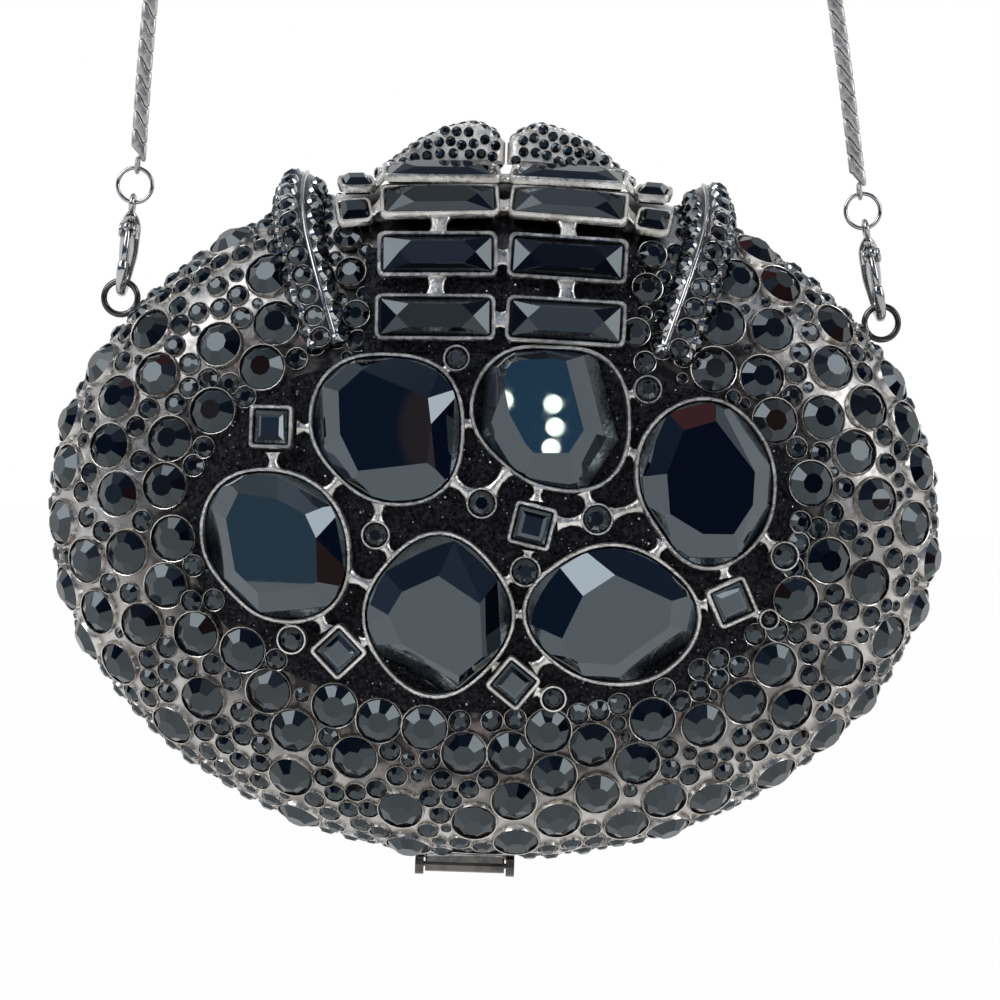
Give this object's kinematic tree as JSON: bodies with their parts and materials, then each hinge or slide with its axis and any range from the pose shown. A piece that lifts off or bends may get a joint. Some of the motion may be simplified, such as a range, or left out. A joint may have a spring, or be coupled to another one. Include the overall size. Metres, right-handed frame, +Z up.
{
  "type": "evening bag",
  "caption": "Oval hard-shell evening bag with domed metal halves hinged at the bottom, a kiss lock, a front set with black cut stones, and a chain strap on lobster claws",
  "frame": {"origin": "the top of the strap, where it is held", "axes": "+X right seen from the front, +Y to the back, +Z up; the bag hangs below the origin"},
  "size_m": [0.1668, 0.0568, 0.2479],
  "materials": {
    "gunmetal": "bright nickel-gunmetal plate",
    "dark_gunmetal": "dark gunmetal plate",
    "chain_metal": "polished gunmetal plate",
    "black_crystal": "jet black cut glass",
    "black_glitter": "black glitter",
    "black_satin": "black satin lining"
  },
  "bodies": {
    "strap": {"chain_strap": "chain_metal", "left_jump_ring": "gunmetal", "right_jump_ring": "gunmetal"},
    "left_claw_body": {"left_claw": "gunmetal", "left_gate_pin": "dark_gunmetal"},
    "right_claw_body": {"right_claw": "gunmetal", "right_gate_pin": "dark_gunmetal"},
    "left_gate_body": {"left_gate": "gunmetal"},
    "right_gate_body": {"right_gate": "gunmetal"},
    "back_half": {"back_shell": "gunmetal", "back_rim": "gunmetal", "back_lining": "black_satin", "back_tab": "gunmetal", "back_hinge": "gunmetal", "hinge_pin": "dark_gunmetal", "left_loop": "dark_gunmetal", "right_loop": "dark_gunmetal"},
    "front_half": {"front_shell": "gunmetal", "front_rim": "gunmetal", "front_lining": "black_satin", "glitter_panel": "black_glitter", "upper_panel": "black_glitter", "front_tab": "gunmetal", "front_hinge": "gunmetal", "stone_lattice": "gunmetal", "baguette_setting": "gunmetal", "stone_upper_left": "black_crystal", "stone_upper_middle": "black_crystal", "stone_right": "black_crystal", "stone_left": "black_crystal", "stone_lower_left": "black_crystal", "stone_lower_right": "black_crystal", "square_upper_left": "black_crystal", "square_middle": "black_crystal", "square_lower_left": "black_crystal", "square_lower_middle": "black_crystal", "square_right": "black_crystal", "baguette_low_left": "black_crystal", "baguette_low_right": "black_crystal", "baguette_middle_left": "black_crystal", "baguette_middle_right": "black_crystal", "baguette_high_left": "black_crystal", "baguette_high_right": "black_crystal", "baguette_top_left": "black_crystal", "baguette_top_right": "black_crystal", "flank_high_left": "black_crystal", "flank_high_right": "black_crystal", "flank_top_left": "black_crystal", "flank_top_right": "black_crystal", "left_ridge": "gunmetal", "right_ridge": "gunmetal"}
  },
  "joints": [
    {"name": "left_claw_swing", "type": "hinge", "parent": "strap", "child": "left_claw_body", "pos_m": [-0.07077, 0, -0.12087], "axis": [1, 0, 0], "range_deg": [-35, 35]},
    {"name": "right_claw_swing", "type": "hinge", "parent": "strap", "child": "right_claw_body", "pos_m": [0.06887, 0, -0.12115], "axis": [1, 0, 0], "range_deg": [-35, 35]},
    {"name": "bag_swing", "type": "hinge", "parent": "left_claw_body", "child": "back_half", "pos_m": [-0.07216, 0, -0.13591], "axis": [1, 0, 0], "range_deg": [-60, 60]},
    {"name": "shell_hinge", "type": "hinge", "parent": "back_half", "child": "front_half", "pos_m": [0, -0.0014, -0.2447], "axis": [1, 0, 0], "range_deg": [0, 75]},
    {"name": "left_gate_hinge", "type": "hinge", "parent": "left_claw_body", "child": "left_gate_body", "pos_m": [-0.07127, -0.0013, -0.12635], "axis": [1, 0, 0], "range_deg": [0, 22], "stiffness_Nm_per_rad": 0.01, "springref_deg": -11.46},
    {"name": "right_gate_hinge", "type": "hinge", "parent": "right_claw_body", "child": "right_gate_body", "pos_m": [0.06995, -0.0013, -0.12654], "axis": [1, 0, 0], "range_deg": [0, 22], "stiffness_Nm_per_rad": 0.01, "springref_deg": -11.46}
  ],
  "couplings": [
    {"joint": "right_claw_swing", "follows": "left_claw_swing", "ratio": 1}
  ]
}
